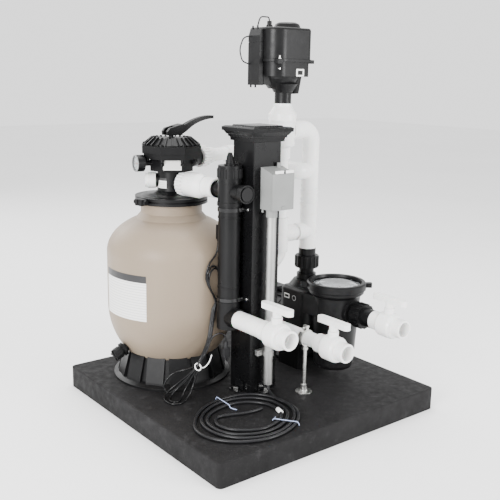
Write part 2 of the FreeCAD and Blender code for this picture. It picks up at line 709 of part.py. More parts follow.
def tee(centre, run_half, branch_way, branch):
    """Socket tee with an upright run and one level branch."""
    low, high = centre - Z * run_half, centre + Z * run_half
    body = fuse([rod(HUB_R, low, high), rod(HUB_R, centre, centre + branch_way * branch)])
    return cut(body, [rod(PIPE_BORE, low - Z, high + Z),
                      rod(PIPE_BORE, centre, centre + branch_way * (branch + 1))])


def lower_tee():
    """Tee on the riser whose branch crosses to the tee on the air pipe."""
    left = at(BLOWER, LOWER_TEE_Z)
    right = at(RISER, LOWER_TEE_Z)
    shape = fuse([tee(right, 64, -X, 60), tee(left, 60, X, 60),
                  tube(PIPE_R, PIPE_BORE, left + X * 58, right - X * 58)])
    return shape


def check_valve():
    """Banded spring check valve between the riser's two tees."""
    low, high = LOWER_TEE_Z + 64.2, UPPER_TEE_Z - 63.2
    body = rod(HUB_R, at(RISER, low), at(RISER, high))
    bands = [rod(HUB_R + 2, at(RISER, z), at(RISER, z + 9)) for z in (668, 684, 711)]
    return fuse([body] + bands).cut(rod(PIPE_BORE, at(RISER, low - 1), at(RISER, high + 1)))


def riser_top():
    """Upper tee of the riser with the elbow over it, across to the air tee."""
    centre = at(RISER, UPPER_TEE_Z)
    shape = tee(centre, 63, -X, 44)
    points = [at(RISER, UPPER_TEE_Z + 63), at(RISER, LOOP_Z), V(BLOWER.x + 48.2, BLOWER.y, LOOP_Z)]
    elbow = swept(points, [40], HUB_R)
    return fuse([shape, elbow]).cut(swept(points, [40], PIPE_BORE))


def filter_feed_pipe():
    """Pipe from the multiport valve's upper port round to the riser's upper tee."""
    out = valve_way(0)
    start = at(FILTER, UPPER_PORT_Z)
    elbow_x = RISER.x - 78
    reach = (elbow_x - FILTER.x) / out.x
    points = [start + out * 138, start + out * reach, V(elbow_x, RISER.y, UPPER_TEE_Z),
              V(RISER.x - 44.2, RISER.y, UPPER_TEE_Z)]
    bends = [46, 33]
    pipe = swept(points, bends, PIPE_R)
    hubs = [
        rod(HUB_R, start + out * 176.3, start + out * 206),
        rod(HUB_R, start + out * (reach - 82), start + out * (reach - 44)),
    ]
    last = (points[2] - points[1]).normalize()
    hubs.append(rod(HUB_R, points[1] + last * 46, points[1] + last * 82))
    hubs.append(rod(HUB_R, points[2] - last * 76, points[2] - last * 33))
    elbows = [swept([points[1] - out * 60, points[1], points[1] + last * 60], [46], HUB_R),
              swept([points[2] - last * 34, points[2], points[3]], [33], HUB_R)]
    return fuse([pipe] + hubs + elbows).cut(swept(points, bends, PIPE_BORE))


def air_tee():
    """Check-valve body under the blower: flared top, side branch to the riser's loop."""
    outline = [(30.5, 1024), (32, 1014), (47.5, 989), (47.5, 968), (44, 960), (44, 884), (30, 876), (30, 838),
               (PIPE_BORE, 838), (PIPE_BORE, 884), (36, 892), (36, 976), (SOCKET_R, 992), (SOCKET_R, 1024)]
    body = lathe(outline, V(BLOWER.x, BLOWER.y, 0))
    mid = at(BLOWER, LOOP_Z)
    branch = rod(HUB_R, mid + X * 38, mid + X * 48)
    drop = tube(PIPE_R, PIPE_BORE, at(BLOWER, 838.2), at(BLOWER, LOWER_TEE_Z + 60.2))
    return fuse([body, branch, drop]).cut(rod(PIPE_BORE, mid + X * 20, mid + X * 50))


def pipe_support():
    """Threaded rod on a floor flange with the split clamp that carries the second pipe."""
    x, y = VALVES["valve_2"].x, -217.0
    top = AIR_LINE_Z
    flange = lathe([(0, PAD_TOP), (28, PAD_TOP), (28, PAD_TOP + 3), (12, PAD_TOP + 5), (11, 92), (0, 92)],
                   V(x, y, 0))
    column = rod(6, V(x, y, 90), V(x, y, top - 27))
    nuts = [rod(10, V(x, y, z), V(x, y, z + 9)) for z in (94, top - 42)]
    band = tube(PIPE_R + 4, PIPE_R + GAP, V(x, y - 9, top), V(x, y + 9, top))
    ears = block((x - 5, x + 5), (y - 9, y + 9), (top + 26, top + 42), 1)
    bolt = rod(3, V(x - 14, y, top + 35), V(x + 14, y, top + 35))
    return fuse([flange, column, band, ears, bolt] + nuts)


# ----------------------------------------------------------------------------------- pump ----
def pump_housing():
    """Strainer pot and volute in one casting, with suction and discharge ports."""
    pot = lathe([(0, 112), (62, 112), (70, 124), (POT_R - 3, 330), (POT_R, 372), (97, 384), (97, 393),
                 (0, 393)], V(POT.x, POT.y, 0))
    half = 85.0
    bridge = block((PUMP_X - half, PUMP_X + half), (-100, 52), (150, 376), 30)
    rim = [e for e in bridge.Edges if abs(e.BoundBox.ZMin - 376) < 0.01]
    bridge = bridge.makeFillet(16, rim)
    cheeks = block((PUMP_X - POT_R + 2, PUMP_X + POT_R - 2), (POT.y, -60), (300, 372))
    top = lathe([(0, 370), (66, 370), (46, 396), (0, 396)], V(RISER.x, RISER.y, 0))
    neck = rod(35, at(RISER, 380), at(RISER, 418))
    suction = V(PUMP_X, POT.y, SUCTION_Z)
    port = [rod(41, suction - Y * 60, suction - Y * 84), rod(44, suction - Y * 84, suction - Y * 91)]
    whole = fuse([pot, bridge, cheeks, top, neck] + port)
    hollows = [
        lathe([(0, 124), (56, 124), (64, 136), (74, 330), (76, 394), (0, 394)], V(POT.x, POT.y, 0)),
        rod(64, V(PUMP_X, 0, SHAFT_Z), V(PUMP_X, 53, SHAFT_Z)),
        rod(24, V(PUMP_X, -100, SHAFT_Z), V(PUMP_X, 1, SHAFT_Z)),
        rod(PIPE_BORE, suction - Y * 50, suction - Y * 110),
        rod(PIPE_BORE, at(RISER, SHAFT_Z + 40), at(RISER, 420)),
    ]
    return cut(whole, hollows)


def pump_lid():
    """Clear lid with its stepped plug."""
    return lathe([(0, 410), (60, 414), (84, 408), (92, 402), (92, 393.2), (75.5, 393.2), (75.5, 384),
                  (66, 384), (66, 398), (0, 404)], V(POT.x, POT.y, 0))


def pump_lid_ring():
    """Ring nut over the lid, with two lugs for the hand."""
    ring = lathe([(103, 396), (103, 416), (99, LID_TOP), (88, LID_TOP), (85, 412), (93, 404), (93, 394),
                  (100, 394)], V(POT.x, POT.y, 0))
    lugs = []
    for way in (-38, 142):
        lug = block((98, 124), (-10, 10), (399, 415), 4)
        lug.translate(POT)
        lugs.append(turn(lug, way, POT))
    return fuse([ring] + lugs)


def pump_basket():
    """Strainer basket with slots down its side and a bail handle."""
    shell = lathe([(0, 140), (58, 140), (68, 372), (73, 372), (73, 375), (65, 375), (55, 143), (0, 143)],
                  V(POT.x, POT.y, 0))
    slots = []
    for i in range(12):
        slot = block((40, 90), (-3.5, 3.5), (160, 350))
        slot.translate(POT)
        slots.append(turn(slot, 30 * i, POT))
    return cut(shell, slots)


def pump_rotor():
    """Impeller, motor shaft and cooling fan on one axis."""
    def on_axis(y):
        return V(PUMP_X, y, SHAFT_Z)
    impeller = fuse([rod(58, on_axis(6), on_axis(9)), rod(58, on_axis(22), on_axis(25)),
                     tube(20, 14, on_axis(1.5), on_axis(6))])
    vanes = []
    for i in range(6):
        vane = block((PUMP_X + 14, PUMP_X + 56), (8, 23), (SHAFT_Z - 2, SHAFT_Z + 2))
        vanes.append(turn(vane, 60 * i, on_axis(0), Y))
    shaft = rod(SHAFT_R, on_axis(8), on_axis(330))
    core = rod(38, on_axis(120), on_axis(260))
    fan = [rod(18, on_axis(312), on_axis(328))]
    for i in range(7):
        blade = block((PUMP_X + 12, PUMP_X + 62), (313, 326), (SHAFT_Z - 1.5, SHAFT_Z + 1.5))
        fan.append(turn(blade, 360.0 * i / 7, on_axis(0), Y))
    return fuse([impeller, shaft, core] + vanes + fan)


def pump_motor():
    """Motor shell with its seal plate, cooling ribs, end bell and wiring box."""
    def on_axis(y):
        return V(PUMP_X, y, SHAFT_Z)
    plate = rod(84, on_axis(52.2), on_axis(70))
    bracket = cone(78, 62, on_axis(70), on_axis(88))
    shell = rod(72, on_axis(88), on_axis(300))
    bell = rod(76, on_axis(300), on_axis(340))
    ribs = []
    for i in range(16):
        fin = block((PUMP_X + 70, PUMP_X + 78), (104, 288), (SHAFT_Z - 1.8, SHAFT_Z + 1.8))
        ribs.append(turn(fin, 360.0 * i / 16, on_axis(0), Y))
    box = block((PUMP_X - 40, PUMP_X + 40), (150, 250), (300, 330), 8)
    hollow = [rod(SHAFT_R + FIT, on_axis(50), on_axis(335)), rod(44, on_axis(112), on_axis(268)),
              rod(68, on_axis(306), on_axis(334))]
    grille = []
    for i in range(10):
        slot = block((PUMP_X + 24, PUMP_X + 62), (333, 342), (SHAFT_Z - 4, SHAFT_Z + 4))
        grille.append(turn(slot, 36 * i, on_axis(0), Y))
    return cut(fuse([plate, bracket, shell, bell, box] + ribs), hollow + grille)


def pump_base():
    """Plastic foot under the volute and motor."""
    front = block((PUMP_X - 78, PUMP_X + 78), (-58, 56), (PAD_TOP, 149.8), 10)
    arch = block((PUMP_X - 52, PUMP_X + 52), (-60, 60), (PAD_TOP - 1, 126))
    rail = block((PUMP_X - 60, PUMP_X + 60), (56, 300), (PAD_TOP, PAD_TOP + 12), 6)
    saddle = block((PUMP_X - 34, PUMP_X + 34), (180, 260), (PAD_TOP + 10, 175), 6)
    saddle = saddle.cut(rod(79, V(PUMP_X, 170, SHAFT_Z), V(PUMP_X, 270, SHAFT_Z)))
    return fuse([front.cut(arch), rail, saddle])


def union(start, way, tail, nut, body):
    """Tail piece, ribbed nut and pipe-side body of one union."""
    pieces = [
        tube(27, PIPE_BORE, start, start + way * (tail + nut)),
        ribbed_nut(44, 26, start + way * tail, start + way * (tail + nut), 16),
        tube(31, PIPE_BORE, start + way * (tail + nut - 4), start + way * (tail + nut + body)),
    ]
    return fuse(pieces)


def pump_unions():
    """Black unions on the pump's suction and discharge ports."""
    suction = V(PUMP_X, POT.y - 91.2, SUCTION_Z)
    reach = suction.y - (VALVES["valve_3"].y + VALVE_LEN) - 12 - 42 - GAP
    rise = LOWER_TEE_Z - 64.2 - 418.2 - 22 - 44
    return Part.makeCompound([
        union(suction, -Y, 12, 42, reach),
        union(at(RISER, 418.2), Z, 22, 44, rise),
    ])


# --------------------------------------------------------------------------------- blower ----
BLOWER_X = (BLOWER.x - 88, BLOWER.x + 78)
BLOWER_Y = (BLOWER.y - 55, BLOWER.y + 85)
PART_LINE_Z = 1168.0
COVER_TOP = 1268.0


def upright(edge):
    return abs(edge.tangentAt(edge.FirstParameter).z) > 0.9


def near_corner(edge):
    """True for the upright edge at the blower's front left."""
    spot = edge.BoundBox.Center
    return spot.x < BLOWER_X[0] + 20 and spot.y < BLOWER_Y[0] + 20


def rounded_plan(inset, z_low, z_high):
    """Upright block on the blower's plan: one wide front corner, three tight ones."""
    x, y = BLOWER_X, BLOWER_Y
    solid = block((x[0] + inset, x[1] - inset), (y[0] + inset, y[1] - inset), (z_low, z_high))
    solid = solid.makeFillet(18.0 - inset / 2, [e for e in solid.Edges if upright(e) and not near_corner(e)])
    return solid.makeFillet(52.0 - inset, [e for e in solid.Edges if upright(e) and near_corner(e)])


def blower_housing():
    """Lower shell: flange and bowl narrowing to the outlet spigot."""
    x, y = BLOWER_X, BLOWER_Y
    middle = V((x[0] + x[1]) / 2, (y[0] + y[1]) / 2, 0)
    flange = rounded_plan(-3, PART_LINE_Z - 9, PART_LINE_Z)
    chamber = rounded_plan(4, 1112, PART_LINE_Z - 8)
    bowl = lathe([(0, 1072), (40, 1072), (52, 1088), (60, 1104), (62, 1116), (0, 1116)], middle + V(2, -1, 0))
    web = block((x[0] + 0.3, x[0] + 40), (BLOWER.y - 1, BLOWER.y + 52), (1084, 1116), 4)
    throat = cone(32, 48, at(BLOWER, 1060), at(BLOWER, 1088))
    spout = rod(28, at(BLOWER, 1024.2), at(BLOWER, 1070))
    lobe = cone(12, 26, V(BLOWER.x + 41, BLOWER.y - 14, 1056), V(BLOWER.x + 41, BLOWER.y - 8, 1116))
    ear = block((x[1] - 2, x[1] + 16), (y[0] + 6, y[0] + 24), (PART_LINE_Z - 13, PART_LINE_Z - 1), 4)
    bracket = block((x[0] + 12, x[0] + 34), (y[0] - 6, y[0] + 16), (PART_LINE_Z - 16, PART_LINE_Z - 1), 3)
    whole = fuse([flange, chamber, bowl, web, throat, spout, lobe, ear, bracket])
    inside = rounded_plan(10, 1118, PART_LINE_Z + 1)
    return cut(whole, [inside, rod(22, at(BLOWER, 1020), at(BLOWER, 1119))])


def blower_cover():
    """Upper shell with a low scoop over the motor."""
    outer = rounded_plan(0, PART_LINE_Z + 0.2, COVER_TOP)
    rim = [e for e in outer.Edges if abs(e.BoundBox.ZMin - COVER_TOP) < 0.01]
    outer = outer.makeFillet(9, rim)
    inner = rounded_plan(5, PART_LINE_Z - 1, COVER_TOP - 4)
    dome = lathe([(0, COVER_TOP - 3), (48, COVER_TOP - 3), (40, COVER_TOP + 14), (30, COVER_TOP + 19),
                  (0, COVER_TOP + 20)], V(BLOWER.x + 28, BLOWER.y + 20, 0))
    gland = fuse([rod(8, V(95, 38, COVER_TOP - 2), V(95, 38, COVER_TOP + 22)),
                  rod(11, V(95, 38, COVER_TOP - 2), V(95, 38, COVER_TOP + 9))])
    return Part.makeCompound([fuse([outer.cut(inner), dome, gland]), blower_motor()])


def blower_fan():
    """Fan wheel on its motor shaft, driven from above."""
    centre = V(BLOWER.x - 6, BLOWER.y + 18, 0)
    shaft = rod(5, at(centre, 1132), at(centre, 1240))
    disc = rod(48, at(centre, 1134), at(centre, 1137))
    blades = []
    for i in range(9):
        blade = block((centre.x + 8, centre.x + 46), (centre.y - 1.2, centre.y + 1.2), (1121, 1135.5))
        blades.append(turn(blade, 40 * i, centre))
    hub = rod(12, at(centre, 1119), at(centre, 1139))
    rotor = rod(24, at(centre, 1180), at(centre, 1225))
    return fuse([shaft, disc, hub, rotor] + blades)


def blower_motor():
    """Stator frame that hangs in the cover and carries the shaft."""
    centre = V(BLOWER.x - 6, BLOWER.y + 18, 0)
    frame = rod(42, at(centre, 1165), at(centre, COVER_TOP - 4))
    shelf = rod(50, at(centre, 1152), at(centre, 1165))
    return cut(fuse([frame, shelf]), [rod(27, at(centre, 1176), at(centre, 1229)),
                                      rod(5 + FIT, at(centre, 1150), at(centre, 1242))])


def junction_box():
    """Wiring box on the blower's side with its lid seam, feet and cable entries."""
    x1 = BLOWER_X[0]
    x0 = x1 - 18
    y0, y1 = BLOWER.y - 1, BLOWER.y + 58
    side = Part.makePolygon([V(x0, y0, 1083), V(x1, y0, 1083), V(x1, y0, 1262), V(x0 + 8, y0, 1260),
                             V(x0, y0, 1240), V(x0, y0, 1083)])
    body = Part.Face(side).extrude(V(0, y1 - y0, 0))
    seam = body.cut(block((x0 + 1.2, x1 + 1), (y0 + 1.2, y1 - 1.2), (1080, 1270)))
    seam = seam.common(block((x0 - 1, x1 + 1), (y0 - 1, y1 + 1), (1218, 1220.5)))
    feet = [rod(3, V(x0 + 7, y, 1075), V(x0 + 7, y, 1088)) for y in (y0 + 27, y0 + 51)]
    pegs = [rod(3, V(x0 + 12, y, 1260), V(x0 + 12, y, 1272)) for y in (y0 + 26, y0 + 51)]
    whole = fuse([body.cut(seam)] + feet + pegs)
    seat = block((x1 - 3.2, x1 + 5), (y0 - 1, y1 + 1), (PART_LINE_Z - 9.2, PART_LINE_Z + 0.1))
    return whole.cut(seat)


LEAD_R = 2.2


def blower_leads():
    """Two short leads, one over the cover to the wiring box and one down the box's side."""
    x0 = BLOWER_X[0] - 18
    over = [V(95, 38, COVER_TOP + 22), V(90, 36, 1302), V(44, 24, 1301), V(33, 22, 1272)]
    down = [V(x0, 44, 1240), V(x0 - 20, 56, 1234), V(x0 - 30, 64, 1196), V(x0 - 22, 58, 1158), V(x0, 48, 1150)]
    return Part.makeCompound([swept(path, cord_bends(path), LEAD_R) for path in (over, down)])


# ---------------------------------------------------------------------------------- cords ----
CABLE_R = 5.25
CABLE_OUT = [V(-42, -160, 111.8), V(-42, -161, 101), V(-44, -172, 89), V(-49, -194, 84), V(-56, -226, 82)]
CABLE_END = [V(-322, -228, 82), V(-297, -216, 82), V(-248, -230, 82), V(-199, -248, 82), V(-140, -250, 82)]
COIL = V(-222, -264, 0)
COIL_TILT = 14.0
SIGNAL_R = 3.0
SIGNAL_OUT = [V(-146, -16, 586), V(-147, -16, 562), V(-154, -17, 544), V(-166, -18, 530), V(-184, -19, 515)]
SIGNAL_END = [V(-192, -37, 254), V(-182, -42, 274), V(-164, -56, 286), V(-149, -66, 276), V(-148, -66, 256)]


def power_cable():
    """Loose ends of the power cable: conduit to coil, and the end that lies inside the coil."""
    return Part.makeCompound([cord("power_cable", CABLE_OUT, CABLE_R), cord("power_end", CABLE_END, CABLE_R)])


def oval(a, b, z_low, z_high):
    face = Part.Face(Part.Wire([Part.Ellipse(V(0, 0, z_low), a, b).toShape()]))
    solid = turn(face.extrude(V(0, 0, z_high - z_low)), COIL_TILT, V(0, 0, 0))
    solid.translate(COIL)
    return solid


def power_coil():
    """Outer shape of the coil that lies on the pad."""
    return oval(195, 160, PAD_TOP + 0.2, 94).cut(oval(96, 79, PAD_TOP - 1, 110))


def signal_cord():
    """Loose ends of the thin cord: sensor to hank, and hank to plug."""
    return Part.makeCompound([cord("signal_cord", SIGNAL_OUT, SIGNAL_R), cord("signal_end", SIGNAL_END, SIGNAL_R)])


def signal_hank():
    """Outer shape of the tied hank, from its upper loop down to the loops fanned on the pad."""
    levels = [(-180, -19.5, 521, 20, 5), (-177, -20, 480, 24, 5.5), (-172, -20.5, 430, 16, 6),
              (-167, -22, 390, 9, 7), (-168, -22, 340, 8, 7), (-177, -26, 300, 9, 8), (-200, -38, 244, 9, 8),
              (-242, -48, 190, 9, 9), (-276, -16, 150, 30, 38), (-298, -1, 120, 42, 44),
              (-314, -18, 76.2, 48, 54)]
    rings = []
    for x, y, z, a, b in levels:
        ring = Part.Wire([Part.Ellipse(V(x, y, z), max(a, b) + 0.01, min(a, b)).toShape()])
        if b > a:
            ring.rotate(V(x, y, z), Z, 90)
        rings.append(ring)
    return Part.makeLoft(rings[::-1], True, True)


def signal_plug():
    """Moulded plug on the thin cord's end, hanging with its blades down."""
    relief = []
    for i in range(4):
        high = V(-148, -66, 256 - 6 * i)
        relief.append(cone(6.0 + 0.5 * i, 7.0 + 0.5 * i, high, high - Z * 6))
    body = block((-161, -135), (-75, -57), (200, 233), 5)
    blades = [block((x, x + 1.6), (-69, -63), (184, 201)) for x in (-155, -143)]
    return fuse(relief + [body] + blades)


def build():
    makers = [
        base_pad, filter_tank, filter_base, filter_standpipe, tank_clamp_ring, multiport_body, multiport_cover,
        multiport_diverter, multiport_handle, pressure_gauge, gauge_needle, port_nuts, return_coupling, tank_drain,
        post, post_cap, post_feet, cell_tube, cell_top_tee, cell_bottom_tee, cell_lock_ring, cell_head,
        cell_electrodes, pipe_straps, switch_box, switch_cover, switch_rocker, conduit, valve_1_inlet,
        air_supply_pipe, lower_tee, check_valve, riser_top, filter_feed_pipe, air_tee, pipe_support, pump_housing,
        pump_lid, pump_lid_ring, pump_basket, pump_rotor, pump_motor, pump_base, pump_unions, blower_housing,
        blower_cover, blower_fan, junction_box, blower_leads, power_cable, power_coil, signal_cord, signal_hank,
        signal_plug,
    ]
    for maker in makers:
        save(maker.__name__, maker())
    for name, mouth in VALVES.items():
        save(name + "_body", valve_body(mouth))
        save(name + "_key", valve_key(mouth))


os.makedirs("parts", exist_ok=True)
build()
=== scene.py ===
"""Skid-mounted pool and spa equipment set: camera, cords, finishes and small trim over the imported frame."""
import json
import math

import bmesh
import bpy
from mathutils import Matrix, Vector


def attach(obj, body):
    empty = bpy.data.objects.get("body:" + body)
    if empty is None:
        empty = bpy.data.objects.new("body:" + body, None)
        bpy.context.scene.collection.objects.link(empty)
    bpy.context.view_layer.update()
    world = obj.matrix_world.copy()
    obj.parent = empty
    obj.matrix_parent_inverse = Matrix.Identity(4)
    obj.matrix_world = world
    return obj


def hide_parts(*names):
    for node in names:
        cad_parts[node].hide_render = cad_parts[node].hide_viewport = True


MM = 0.001

# Places repeated from the part's own driving dimensions, in millimetres.
FILTER_AXIS = (-180, 211)
TANK_RADIUS = 222
GAUGE_TURN = 172
GAUGE_Z = 823
GAUGE_REACH = {"dial": 0.12305, "ticks": 0.1236, "glass": 0.1278, "rim": 0.1300}
VALVE_PLATE_TURN = 240
VALVE_HEAD_REACH = 71.2
VALVE_STEM_RADIUS = 47.0
PUMP_FACE_X = 177
POST_CENTRE = (-37, -74, 0)
STRAP_FACE = (-97, -59)
STRAP_HEIGHTS = (400, 696)
BLOWER_LABEL = (155, -54, 1125)
CABLE_RADIUS = 5.25
CABLE_OUT = [(-42, -160, 111.8), (-42, -161, 101), (-44, -172, 89), (-49, -194, 84), (-56, -226, 82)]
CABLE_END = [(-297, -214, 82), (-248, -230, 82), (-199, -248, 82), (-160, -253, 82), (-140, -250, 82)]
SIGNAL_RADIUS = 3.0
SIGNAL_OUT = [(-146, -16, 586), (-147, -16, 562), (-154, -17, 544), (-166, -18, 530), (-184, -19, 515)]
SIGNAL_END = [(-192, -37, 254), (-182, -42, 274), (-164, -56, 286), (-149, -66, 276), (-148, -66, 256)]


def mm(points):
    return [Vector(p) * MM for p in points]


# ------------------------------------------------------------------------------- camera ------
CAMERA_PLACE = (-1.59406, -2.00072, 1.11129)
CAMERA_AZIMUTH = -38.545
CAMERA_ELEVATION = 12.730
CAMERA_ROLL = 1.040
CAMERA_LENS = 55.41


def make_camera():
    """Camera that looks down on the pad's front corner, a step to the left of straight ahead."""
    azimuth, elevation, roll = map(math.radians, (CAMERA_AZIMUTH, CAMERA_ELEVATION, CAMERA_ROLL))
    back = Vector((math.sin(azimuth) * math.cos(elevation), -math.cos(azimuth) * math.cos(elevation),
                   math.sin(elevation)))
    level = (-back).cross(Vector((0, 0, 1))).normalized()
    upright = level.cross(-back)
    right = level * math.cos(roll) + upright * math.sin(roll)
    up = upright * math.cos(roll) - level * math.sin(roll)
    data = bpy.data.cameras.new("camera")
    data.lens = CAMERA_LENS
    data.sensor_width = 36
    camera = bpy.data.objects.new("camera", data)
    turn = Matrix((right, up, back)).transposed().to_4x4()
    camera.matrix_world = Matrix.Translation(Vector(CAMERA_PLACE)) @ turn
    bpy.context.scene.collection.objects.link(camera)
    bpy.context.scene.camera = camera


# ---------------------------------------------------------------------------- materials ------
class Shader:
    """Small helper that wires one node material."""

    def __init__(self, name):
        self.material = bpy.data.materials.new(name)
        self.material.use_nodes = True
        self.nodes = self.material.node_tree.nodes
        self.links = self.material.node_tree.links
        self.surface = self.nodes["Principled BSDF"]
        self.place = self.nodes.new("ShaderNodeTexCoord").outputs["Object"]

    def set(self, **values):
        for name, value in values.items():
            self.surface.inputs[name.replace("_", " ")].default_value = value

    def noise(self, scale, detail=4.0, rough=0.55, stretch=(1, 1, 1)):
        shift = self.nodes.new("ShaderNodeMapping")
        shift.inputs["Scale"].default_value = stretch
        self.links.new(self.place, shift.inputs["Vector"])
        texture = self.nodes.new("ShaderNodeTexNoise")
        texture.inputs["Scale"].default_value = scale
        texture.inputs["Detail"].default_value = detail
        texture.inputs["Roughness"].default_value = rough
        self.links.new(shift.outputs["Vector"], texture.inputs["Vector"])
        return texture.outputs["Fac"]

    def ramp(self, value, stops):
        ramp = self.nodes.new("ShaderNodeValToRGB")
        elements = ramp.color_ramp.elements
        while len(elements) < len(stops):
            elements.new(0.5)
        for element, (place, colour) in zip(elements, stops):
            element.position = place
            element.color = (*colour, 1) if len(colour) == 3 else colour
        self.links.new(value, ramp.inputs["Fac"])
        return ramp.outputs["Color"]

    def span(self, value, low, high, start=0.0, end=1.0):
        ranger = self.nodes.new("ShaderNodeMapRange")
        ranger.inputs["From Min"].default_value = start
        ranger.inputs["From Max"].default_value = end
        ranger.inputs["To Min"].default_value = low
        ranger.inputs["To Max"].default_value = high
        self.links.new(value, ranger.inputs["Value"])
        return ranger.outputs["Result"]

    def mix(self, factor, a, b):
        mixer = self.nodes.new("ShaderNodeMix")
        mixer.data_type = "RGBA"
        self.links.new(factor, mixer.inputs["Factor"])
        for socket, value in ((mixer.inputs["A"], a), (mixer.inputs["B"], b)):
            if isinstance(value, tuple):
                socket.default_value = (*value, 1)
            else:
                self.links.new(value, socket)
        return mixer.outputs["Result"]

    def colour(self, socket):
        self.links.new(socket, self.surface.inputs["Base Color"])

    def rough(self, socket):
        self.links.new(socket, self.surface.inputs["Roughness"])

    def bumps(self, layers, edge=0.0):
        """Stack bump layers of (height socket, strength, distance) over softened edges."""
        normal = None
        if edge:
            bevel = self.nodes.new("ShaderNodeBevel")
            bevel.samples = 4
            bevel.inputs["Radius"].default_value = edge
            normal = bevel.outputs["Normal"]
        for height, strength, distance in layers:
            bump = self.nodes.new("ShaderNodeBump")
            bump.inputs["Strength"].default_value = strength
            bump.inputs["Distance"].default_value = distance
            self.links.new(height, bump.inputs["Height"])
            if normal:
                self.links.new(normal, bump.inputs["Normal"])
            normal = bump.outputs["Normal"]
        self.links.new(normal, self.surface.inputs["Normal"])


def shade(colour, factor):
    return tuple(min(1.0, c * factor) for c in colour)


def moulded(name, colour, rough, spread=0.10, grain=900, grain_depth=0.00012, edge=0.0012, dust=None,
            specular=0.5):
    """Moulded plastic: faint mottling, fine grain, uneven gloss and softened edges."""
    s = Shader(name)
    cloud = s.noise(7, 5)
    mottled = s.ramp(cloud, [(0.25, shade(colour, 1 - spread)), (0.75, shade(colour, 1 + spread))])
    if dust:
        specks = s.span(s.noise(60, 8, 0.7), 0, 1, 0.52, 0.78)
        mottled = s.mix(specks, mottled, dust)
    s.colour(mottled)
    s.rough(s.span(s.noise(22, 6), rough - 0.07, rough + 0.09, 0.3, 0.7))
    s.bumps([(s.noise(grain, 2), 0.35, grain_depth), (s.noise(16, 3), 0.15, 0.0006)], edge)
    s.set(Specular_IOR_Level=specular)
    return s.material


def pad_material():
    """Recycled-plastic pad: coarse dimpled skin, grey scuffs and dust."""
    s = Shader("pad_plastic_look")
    base = s.ramp(s.noise(5, 8, 0.65), [(0.3, (0.0050, 0.0048, 0.0050)), (0.7, (0.0135, 0.0130, 0.0135))])
    scuff = s.span(s.noise(24, 10, 0.75), 0, 1, 0.55, 0.74)
    s.colour(s.mix(scuff, base, (0.030, 0.029, 0.030)))
    s.rough(s.span(s.noise(40, 6), 0.50, 0.78, 0.3, 0.7))
    s.bumps([(s.noise(160, 6, 0.7), 0.75, 0.0011), (s.noise(30, 5), 0.35, 0.002)], 0.004)
    s.set(Specular_IOR_Level=0.12)
    return s.material


def tank_material():
    """Blow-moulded tank wall: warm grey-beige, satin, with faint rings of mould flow."""
    s = Shader("tank_shell_look")
    cloud = s.noise(3.2, 6, 0.6, (1, 1, 0.45))
    base = s.ramp(cloud, [(0.25, (0.215, 0.168, 0.122)), (0.75, (0.255, 0.204, 0.152))])
    speck = s.span(s.noise(420, 3), 0, 1, 0.60, 0.80)
    s.colour(s.mix(speck, base, (0.175, 0.138, 0.102)))
    s.rough(s.span(s.noise(18, 5), 0.36, 0.52, 0.3, 0.7))
    s.bumps([(s.noise(650, 2), 0.22, 0.0002), (s.noise(5, 3, 0.5, (1, 1, 6)), 0.25, 0.0012)])
    s.set(Specular_IOR_Level=0.25)
    return s.material


def pvc_material():
    """White PVC: a touch translucent, glossy, with slight grey handling marks."""
    s = Shader("white_pvc_look")
    base = s.ramp(s.noise(9, 6), [(0.3, (0.80, 0.80, 0.785)), (0.7, (0.88, 0.88, 0.87))])
    marks = s.span(s.noise(34, 9, 0.72), 0, 1, 0.66, 0.84)
    s.colour(s.mix(marks, base, (0.66, 0.65, 0.62)))
    s.rough(s.span(s.noise(30, 5), 0.20, 0.34, 0.3, 0.7))
    s.bumps([(s.noise(700, 2), 0.10, 0.0001), (s.noise(45, 3), 0.10, 0.0004)], 0.0018)
    s.set(Subsurface_Weight=0.08, Subsurface_Scale=0.006)
    return s.material


def metal(name, colour, rough, spangle=90, drawn=None):
    """Galvanised, plated or machined metal with spangle or drawn lines."""
    s = Shader(name)
    grain = s.noise(spangle, 3, 0.5, drawn or (1, 1, 1))
    s.colour(s.ramp(grain, [(0.3, shade(colour, 0.80)), (0.7, shade(colour, 1.10))]))
    s.rough(s.span(s.noise(spangle * 1.7, 4), rough - 0.08, rough + 0.12, 0.3, 0.7))
    s.bumps([(s.noise(spangle * 4, 3, 0.5, drawn or (1, 1, 1)), 0.25, 0.0002)], 0.0008)
    s.set(Metallic=1.0)
    return s.material


def box_material():
    """Powder-coated sheet steel with orange-peel texture and rubbed spots."""
    s = Shader("box_grey_look")
    base = s.ramp(s.noise(11, 5), [(0.3, (0.185, 0.19, 0.185)), (0.7, (0.225, 0.23, 0.225))])
    wear = s.span(s.noise(70, 9, 0.75), 0, 1, 0.66, 0.80)
    s.colour(s.mix(wear, base, (0.58, 0.58, 0.57)))
    s.rough(s.span(s.noise(26, 4), 0.36, 0.52, 0.3, 0.7))
    s.bumps([(s.noise(330, 2), 0.25, 0.0003)], 0.0012)
    s.set(Specular_IOR_Level=0.25)
    return s.material


def rubber(name, colour, rough, ring_scale=600):
    """Cable jacket: satin rubber with faint lengthways drag and dust."""
    s = Shader(name)
    base = s.ramp(s.noise(14, 6), [(0.3, shade(colour, 0.8)), (0.7, shade(colour, 1.2))])
    dust = s.span(s.noise(90, 8, 0.7), 0, 1, 0.60, 0.80)
    s.colour(s.mix(dust, base, shade(colour, 1.9)))
    s.rough(s.span(s.noise(40, 4), rough - 0.08, rough + 0.1, 0.3, 0.7))
    s.bumps([(s.noise(ring_scale, 2), 0.2, 0.00015)])
    s.set(Specular_IOR_Level=0.25)
    return s.material


